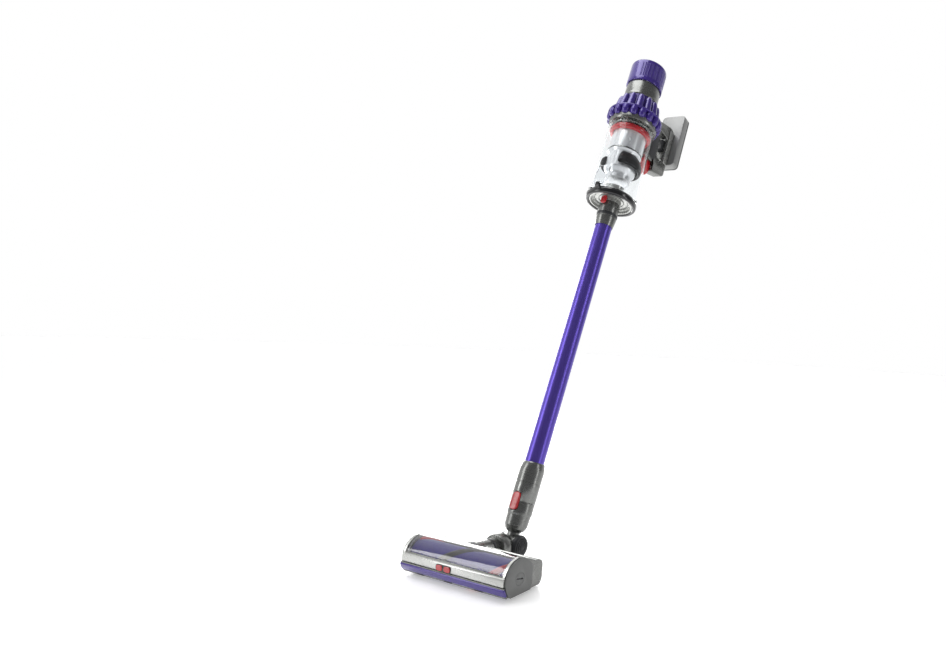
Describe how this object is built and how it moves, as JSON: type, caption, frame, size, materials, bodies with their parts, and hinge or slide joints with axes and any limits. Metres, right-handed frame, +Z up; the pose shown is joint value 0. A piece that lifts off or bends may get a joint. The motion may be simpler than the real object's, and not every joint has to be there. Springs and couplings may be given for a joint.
{
  "type": "cordless stick vacuum",
  "caption": "In-line cordless stick vacuum with a motorised roller head, metal wand, clear cyclone bin, loop handle and battery.",
  "frame": {"origin": "on the floor, at the middle of the glide strip of the cleaner head's sole", "axes": "+Z up, X along the cleaner head's width, the head's front faces -Y and the wand leans back towards +Y by 20 degrees at rest"},
  "size_m": [0.25, 0.723, 1.1494],
  "materials": {
    "gunmetal_plastic": "satin metallic grey moulding",
    "dark_plastic": "fine matte",
    "silver_plastic": "satin silver paint",
    "cap_grey": "satin grey",
    "anodised_tube": "purple anodised, satin",
    "purple_plastic": "glossy purple",
    "brush_pile": "short dense pile",
    "red_plastic": "glossy red",
    "clear_plastic": "clear polycarbonate",
    "black_rubber": "matte",
    "black_bristle": "dense bristle",
    "red_bristle": "dense bristle",
    "steel": "brushed",
    "filter_paper": "pleated",
    "circuit_green": "solder resist",
    "cell_wrap": "shrink wrap"
  },
  "bodies": {
    "main_body": {"handle_shell": "gunmetal_plastic", "grip_panel_left": "silver_plastic", "grip_panel_right": "silver_plastic", "separator_collar": "gunmetal_plastic", "bin_seal_ring": "red_plastic", "shroud": "silver_plastic", "shroud_skirt": "black_rubber", "inner_cyclone": "cap_grey", "cyclone_pack": "purple_plastic", "suction_motor": "steel", "motor_mount": "black_rubber", "motor_cover": "gunmetal_plastic", "battery_tray": "cap_grey", "battery_lid": "cap_grey", "battery_cells": "cell_wrap", "battery_screw": "steel", "circuit_board": "circuit_green"},
    "impeller_rotor": {"impeller": "steel"},
    "filter_unit": {"filter_cap": "purple_plastic", "filter_media": "filter_paper"},
    "trigger_lever": {"trigger": "dark_plastic"},
    "release_lever": {"bin_release_lever": "red_plastic"},
    "power_switch": {"power_slider": "red_plastic"},
    "bin": {"dust_bin": "clear_plastic", "door_hinge_pin": "steel"},
    "door": {"bin_door": "cap_grey", "door_rim": "black_rubber", "bin_gasket": "black_rubber"},
    "wand_release": {"wand_catch": "red_plastic"},
    "wand": {"wand_upper_cuff": "gunmetal_plastic", "wand_tube": "anodised_tube", "wand_lower_cuff": "gunmetal_plastic", "wiring_duct": "dark_plastic"},
    "elbow_upper": {"upper_neck": "gunmetal_plastic", "elbow_pin": "steel"},
    "head_release": {"head_latch": "red_plastic"},
    "elbow_yoke": {"neck_collar": "gunmetal_plastic"},
    "wheel_left": {"elbow_wheel_left": "dark_plastic"},
    "wheel_right": {"elbow_wheel_right": "dark_plastic"},
    "head": {"head_chassis": "gunmetal_plastic", "window_cover": "clear_plastic", "front_strip": "silver_plastic", "soft_bumper": "purple_plastic", "rear_cover_left": "silver_plastic", "rear_cover_right": "silver_plastic", "left_end_cover": "cap_grey", "end_cap": "cap_grey", "sole_plate": "dark_plastic", "glide_strip": "black_bristle", "neck_tube": "gunmetal_plastic", "brush_motor": "dark_plastic"},
    "brush": {"brush_tube": "brush_pile", "bristle_strip_black": "black_bristle", "bristle_strip_red": "red_bristle", "drive_dog": "steel", "brush_bearing": "steel"},
    "cap_lock": {"end_cap_lock": "cap_grey"},
    "suction_gate": {"suction_slider": "red_plastic"},
    "roller_left": {"sole_roller_left": "dark_plastic"},
    "roller_right": {"sole_roller_right": "dark_plastic"}
  },
  "joints": [
    {"name": "impeller_spin", "type": "hinge", "parent": "main_body", "child": "impeller_rotor", "pos_m": [0, 0.42638, 1.01716], "axis": [0, 0.342, 0.9397], "continuous": true},
    {"name": "filter_twist", "type": "hinge", "parent": "main_body", "child": "filter_unit", "pos_m": [0, 0.46332, 1.11865], "axis": [0, 0.342, 0.9397], "range_deg": [0, 45]},
    {"name": "trigger_pull", "type": "slide", "parent": "main_body", "child": "trigger_lever", "axis": [0, 0.9397, -0.342], "range_m": [0, 0.006], "stiffness_N_per_m": 600, "springref_m": -0.003},
    {"name": "bin_release_push", "type": "slide", "parent": "main_body", "child": "release_lever", "axis": [0, -0.342, -0.9397], "range_m": [0, 0.012], "stiffness_N_per_m": 400, "springref_m": -0.004},
    {"name": "power_mode_slide", "type": "slide", "parent": "main_body", "child": "power_switch", "axis": [1, 0, 0], "range_m": [-0.006, 0.006]},
    {"name": "bin_slide", "type": "slide", "parent": "main_body", "child": "bin", "axis": [0, -0.342, -0.9397], "range_m": [0, 0.055]},
    {"name": "bin_door_hinge", "type": "hinge", "parent": "bin", "child": "door", "pos_m": [0, 0.28009, 0.80117], "axis": [-1, 0, 0], "range_deg": [0, 100]},
    {"name": "wand_catch_press", "type": "slide", "parent": "door", "child": "wand_release", "axis": [0, 0.9397, -0.342], "range_m": [0, 0.0015], "stiffness_N_per_m": 900, "springref_m": -0.001},
    {"name": "wand_pull_off", "type": "slide", "parent": "door", "child": "wand", "axis": [0, -0.342, -0.9397], "range_m": [0, 0.05]},
    {"name": "head_latch_press", "type": "slide", "parent": "elbow_upper", "child": "head_release", "axis": [0, 0.9397, -0.342], "range_m": [0, 0.0015], "stiffness_N_per_m": 900, "springref_m": -0.001},
    {"name": "head_pull_off", "type": "slide", "parent": "wand", "child": "elbow_upper", "axis": [0, -0.342, -0.9397], "range_m": [0, 0.045]},
    {"name": "elbow_pitch", "type": "hinge", "parent": "elbow_upper", "child": "elbow_yoke", "pos_m": [0, 0.07, 0.038], "axis": [1, 0, 0], "range_deg": [-20, 58]},
    {"name": "wheel_left_spin", "type": "hinge", "parent": "elbow_yoke", "child": "wheel_left", "pos_m": [0, 0.07, 0.038], "axis": [1, 0, 0], "continuous": true},
    {"name": "wheel_right_spin", "type": "hinge", "parent": "elbow_yoke", "child": "wheel_right", "pos_m": [0, 0.07, 0.038], "axis": [1, 0, 0], "continuous": true},
    {"name": "neck_roll", "type": "hinge", "parent": "elbow_yoke", "child": "head", "pos_m": [0, 0.07, 0.038], "axis": [0, -0.9945, 0.1045], "range_deg": [-60, 60]},
    {"name": "brush_spin", "type": "hinge", "parent": "head", "child": "brush", "pos_m": [0, -0.044, 0.0325], "axis": [1, 0, 0], "continuous": true},
    {"name": "end_cap_lock_turn", "type": "hinge", "parent": "head", "child": "cap_lock", "pos_m": [0, -0.044, 0.0325], "axis": [1, 0, 0], "range_deg": [0, 90]},
    {"name": "suction_gate_slide", "type": "slide", "parent": "head", "child": "suction_gate", "axis": [1, 0, 0], "range_m": [0, 0.014]},
    {"name": "sole_roller_left_spin", "type": "hinge", "parent": "head", "child": "roller_left", "pos_m": [0, 0.006, 0.007], "axis": [1, 0, 0], "continuous": true},
    {"name": "sole_roller_right_spin", "type": "hinge", "parent": "head", "child": "roller_right", "pos_m": [0, 0.006, 0.007], "axis": [1, 0, 0], "continuous": true}
  ]
}
